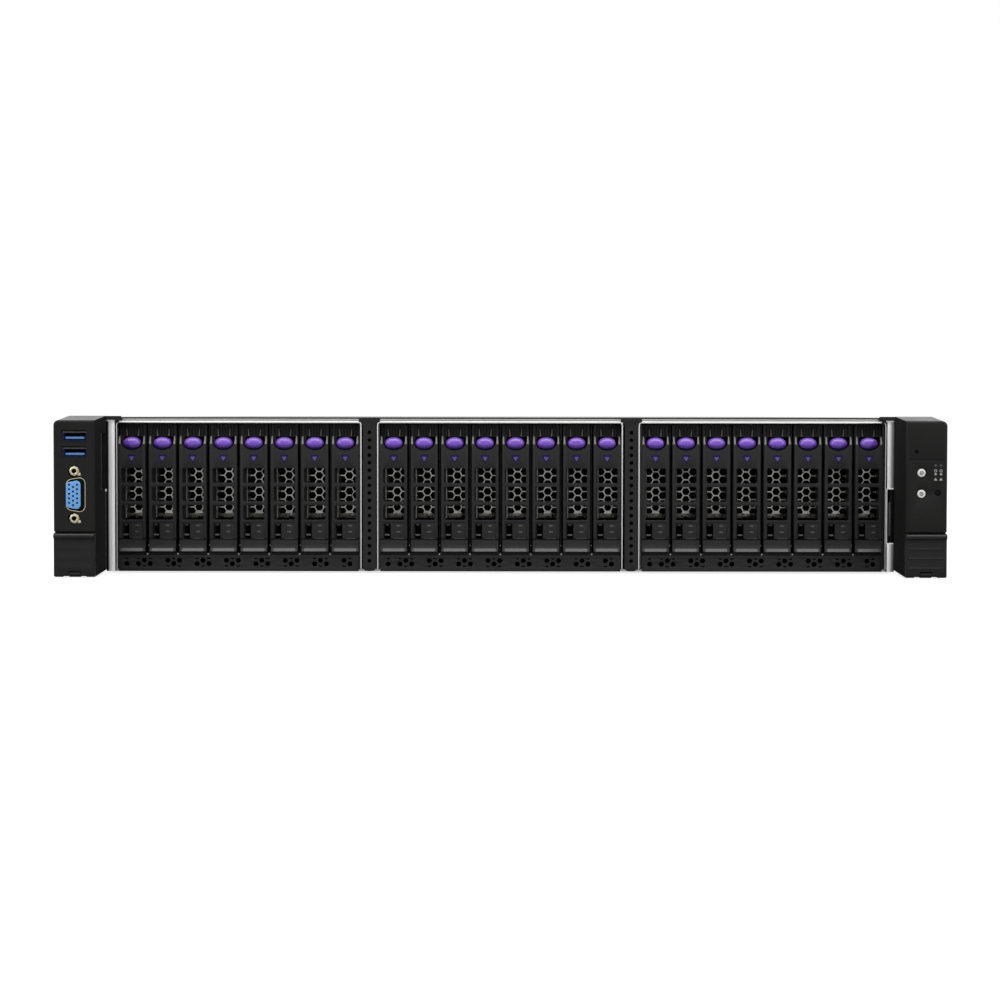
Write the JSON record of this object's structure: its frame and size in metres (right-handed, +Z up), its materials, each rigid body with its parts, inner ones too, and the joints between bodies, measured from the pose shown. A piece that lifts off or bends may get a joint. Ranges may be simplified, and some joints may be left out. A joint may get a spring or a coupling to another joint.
{
  "type": "rackmount server chassis",
  "caption": "Two-unit rack server chassis with hot-swap drive carriers across the front, rack ears with ports and buttons, fans, main board and slide-in power supplies.",
  "frame": {"origin": "midway between the two rack screw holes, in the plane where the ears meet the rack posts", "axes": "+X towards the right ear, +Y from the front to the rear, +Z up; the front faces -Y"},
  "size_m": [0.4826, 0.7835, 0.0876],
  "materials": {
    "galvanised_steel": "satin",
    "black_steel": "satin",
    "ear_plastic": "matte",
    "carrier_plastic": "matte",
    "release_purple": "gloss",
    "connector_blue": "satin",
    "port_steel": "satin",
    "key_white": "satin",
    "fan_black": "matte",
    "board_green": "satin",
    "sink_aluminium": "satin",
    "supply_case": "satin",
    "drive_case": "satin"
  },
  "bodies": {
    "chassis": {"chassis_tub": "galvanised_steel", "front_roof": "galvanised_steel", "rear_panel": "galvanised_steel", "drive_cage_left": "galvanised_steel", "drive_cage_middle": "galvanised_steel", "drive_cage_right": "galvanised_steel", "divider_posts": "black_steel", "front_sills": "black_steel", "drive_backplanes": "board_green", "ear_left": "ear_plastic", "ear_right": "ear_plastic", "usb_ports": "connector_blue", "vga_shell": "port_steel", "vga_insert": "connector_blue", "fan_housings": "fan_black", "motherboard": "board_green", "heat_sinks": "sink_aluminium", "memory_modules": "board_green", "slot_covers": "galvanised_steel", "power_supply_bay": "galvanised_steel"},
    "cover": {"top_cover": "galvanised_steel"},
    "rack_door_left": {"rack_door_left": "ear_plastic"},
    "rack_door_right": {"rack_door_right": "ear_plastic"},
    "power_button": {"power_button": "key_white"},
    "id_button": {"id_button": "key_white"},
    "reset_button": {"reset_button": "key_white"},
    "power_supply_1": {"power_supply_1": "supply_case"},
    "power_supply_2": {"power_supply_2": "supply_case"},
    "lever_01": {"carrier_lever_01": "carrier_plastic"},
    "lever_24": {"carrier_lever_24": "carrier_plastic"},
    "release_01": {"carrier_button_01": "release_purple"},
    "release_24": {"carrier_button_24": "release_purple"},
    "fan_1": {"fan_rotor_1": "fan_black"},
    "fan_2": {"fan_rotor_2": "fan_black"},
    "fan_3": {"fan_rotor_3": "fan_black"},
    "fan_4": {"fan_rotor_4": "fan_black"},
    "carrier_01": {"drive_carrier_01": "carrier_plastic"},
    "carrier_02": {"drive_carrier_02": "carrier_plastic"},
    "carrier_03": {"drive_carrier_03": "carrier_plastic"},
    "carrier_04": {"drive_carrier_04": "carrier_plastic"},
    "carrier_05": {"drive_carrier_05": "carrier_plastic"},
    "carrier_06": {"drive_carrier_06": "carrier_plastic"},
    "carrier_07": {"drive_carrier_07": "carrier_plastic"},
    "carrier_08": {"drive_carrier_08": "carrier_plastic"},
    "carrier_09": {"drive_carrier_09": "carrier_plastic"},
    "carrier_10": {"drive_carrier_10": "carrier_plastic"},
    "carrier_11": {"drive_carrier_11": "carrier_plastic"},
    "carrier_12": {"drive_carrier_12": "carrier_plastic"},
    "carrier_13": {"drive_carrier_13": "carrier_plastic"},
    "carrier_14": {"drive_carrier_14": "carrier_plastic"},
    "carrier_15": {"drive_carrier_15": "carrier_plastic"},
    "carrier_16": {"drive_carrier_16": "carrier_plastic"},
    "carrier_17": {"drive_carrier_17": "carrier_plastic"},
    "carrier_18": {"drive_carrier_18": "carrier_plastic"},
    "carrier_19": {"drive_carrier_19": "carrier_plastic"},
    "carrier_20": {"drive_carrier_20": "carrier_plastic"},
    "carrier_21": {"drive_carrier_21": "carrier_plastic"},
    "carrier_22": {"drive_carrier_22": "carrier_plastic"},
    "carrier_23": {"drive_carrier_23": "carrier_plastic"},
    "carrier_24": {"drive_carrier_24": "carrier_plastic"}
  },
  "joints": [
    {"name": "carrier_slide_01", "type": "slide", "parent": "chassis", "child": "carrier_01", "axis": [0, -1, 0], "range_m": [0, 0.125]},
    {"name": "carrier_slide_02", "type": "slide", "parent": "chassis", "child": "carrier_02", "axis": [0, -1, 0], "range_m": [0, 0.125]},
    {"name": "carrier_slide_03", "type": "slide", "parent": "chassis", "child": "carrier_03", "axis": [0, -1, 0], "range_m": [0, 0.125]},
    {"name": "carrier_slide_04", "type": "slide", "parent": "chassis", "child": "carrier_04", "axis": [0, -1, 0], "range_m": [0, 0.125]},
    {"name": "carrier_slide_05", "type": "slide", "parent": "chassis", "child": "carrier_05", "axis": [0, -1, 0], "range_m": [0, 0.125]},
    {"name": "carrier_slide_06", "type": "slide", "parent": "chassis", "child": "carrier_06", "axis": [0, -1, 0], "range_m": [0, 0.125]},
    {"name": "carrier_slide_07", "type": "slide", "parent": "chassis", "child": "carrier_07", "axis": [0, -1, 0], "range_m": [0, 0.125]},
    {"name": "carrier_slide_08", "type": "slide", "parent": "chassis", "child": "carrier_08", "axis": [0, -1, 0], "range_m": [0, 0.125]},
    {"name": "carrier_slide_09", "type": "slide", "parent": "chassis", "child": "carrier_09", "axis": [0, -1, 0], "range_m": [0, 0.125]},
    {"name": "carrier_slide_10", "type": "slide", "parent": "chassis", "child": "carrier_10", "axis": [0, -1, 0], "range_m": [0, 0.125]},
    {"name": "carrier_slide_11", "type": "slide", "parent": "chassis", "child": "carrier_11", "axis": [0, -1, 0], "range_m": [0, 0.125]},
    {"name": "carrier_slide_12", "type": "slide", "parent": "chassis", "child": "carrier_12", "axis": [0, -1, 0], "range_m": [0, 0.125]},
    {"name": "carrier_slide_13", "type": "slide", "parent": "chassis", "child": "carrier_13", "axis": [0, -1, 0], "range_m": [0, 0.125]},
    {"name": "carrier_slide_14", "type": "slide", "parent": "chassis", "child": "carrier_14", "axis": [0, -1, 0], "range_m": [0, 0.125]},
    {"name": "carrier_slide_15", "type": "slide", "parent": "chassis", "child": "carrier_15", "axis": [0, -1, 0], "range_m": [0, 0.125]},
    {"name": "carrier_slide_16", "type": "slide", "parent": "chassis", "child": "carrier_16", "axis": [0, -1, 0], "range_m": [0, 0.125]},
    {"name": "carrier_slide_17", "type": "slide", "parent": "chassis", "child": "carrier_17", "axis": [0, -1, 0], "range_m": [0, 0.125]},
    {"name": "carrier_slide_18", "type": "slide", "parent": "chassis", "child": "carrier_18", "axis": [0, -1, 0], "range_m": [0, 0.125]},
    {"name": "carrier_slide_19", "type": "slide", "parent": "chassis", "child": "carrier_19", "axis": [0, -1, 0], "range_m": [0, 0.125]},
    {"name": "carrier_slide_20", "type": "slide", "parent": "chassis", "child": "carrier_20", "axis": [0, -1, 0], "range_m": [0, 0.125]},
    {"name": "carrier_slide_21", "type": "slide", "parent": "chassis", "child": "carrier_21", "axis": [0, -1, 0], "range_m": [0, 0.125]},
    {"name": "carrier_slide_22", "type": "slide", "parent": "chassis", "child": "carrier_22", "axis": [0, -1, 0], "range_m": [0, 0.125]},
    {"name": "carrier_slide_23", "type": "slide", "parent": "chassis", "child": "carrier_23", "axis": [0, -1, 0], "range_m": [0, 0.125]},
    {"name": "carrier_slide_24", "type": "slide", "parent": "chassis", "child": "carrier_24", "axis": [0, -1, 0], "range_m": [0, 0.125]},
    {"name": "lever_hinge_01", "type": "hinge", "parent": "carrier_01", "child": "lever_01", "pos_m": [-0.20492, 0.0012, -0.00145], "axis": [1, 0, 0], "range_deg": [0, 55]},
    {"name": "release_press_01", "type": "slide", "parent": "carrier_01", "child": "release_01", "axis": [0, 1, 0], "range_m": [0, 0.0015], "stiffness_N_per_m": 600},
    {"name": "lever_hinge_24", "type": "hinge", "parent": "carrier_24", "child": "lever_24", "pos_m": [0.20492, 0.0012, -0.00145], "axis": [1, 0, 0], "range_deg": [0, 55]},
    {"name": "release_press_24", "type": "slide", "parent": "carrier_24", "child": "release_24", "axis": [0, 1, 0], "range_m": [0, 0.0015], "stiffness_N_per_m": 600},
    {"name": "door_hinge_left", "type": "hinge", "parent": "chassis", "child": "rack_door_left", "pos_m": [-0.23015, -0.0364, -0.01995], "axis": [1, 0, 0], "range_deg": [0, 85]},
    {"name": "door_hinge_right", "type": "hinge", "parent": "chassis", "child": "rack_door_right", "pos_m": [0.23015, -0.0364, -0.01995], "axis": [1, 0, 0], "range_deg": [0, 85]},
    {"name": "power_press", "type": "slide", "parent": "chassis", "child": "power_button", "axis": [0, 1, 0], "range_m": [0, 0.0008], "stiffness_N_per_m": 600},
    {"name": "id_press", "type": "slide", "parent": "chassis", "child": "id_button", "axis": [0, 1, 0], "range_m": [0, 0.0008], "stiffness_N_per_m": 600},
    {"name": "reset_press", "type": "slide", "parent": "chassis", "child": "reset_button", "axis": [0, 1, 0], "range_m": [0, 0.0008], "stiffness_N_per_m": 600},
    {"name": "fan_spin_1", "type": "hinge", "parent": "chassis", "child": "fan_1", "pos_m": [-0.138, 0.19, 0.01935], "axis": [0, 1, 0], "continuous": true},
    {"name": "fan_spin_2", "type": "hinge", "parent": "chassis", "child": "fan_2", "pos_m": [-0.046, 0.19, 0.01935], "axis": [0, 1, 0], "continuous": true},
    {"name": "fan_spin_3", "type": "hinge", "parent": "chassis", "child": "fan_3", "pos_m": [0.046, 0.19, 0.01935], "axis": [0, 1, 0], "continuous": true},
    {"name": "fan_spin_4", "type": "hinge", "parent": "chassis", "child": "fan_4", "pos_m": [0.138, 0.19, 0.01935], "axis": [0, 1, 0], "continuous": true},
    {"name": "supply_slide_1", "type": "slide", "parent": "chassis", "child": "power_supply_1", "axis": [0, 1, 0], "range_m": [0, 0.205]},
    {"name": "supply_slide_2", "type": "slide", "parent": "chassis", "child": "power_supply_2", "axis": [0, 1, 0], "range_m": [0, 0.205]},
    {"name": "cover_lift", "type": "slide", "parent": "chassis", "child": "cover", "axis": [0, 0, 1], "range_m": [0, 0.1]}
  ]
}
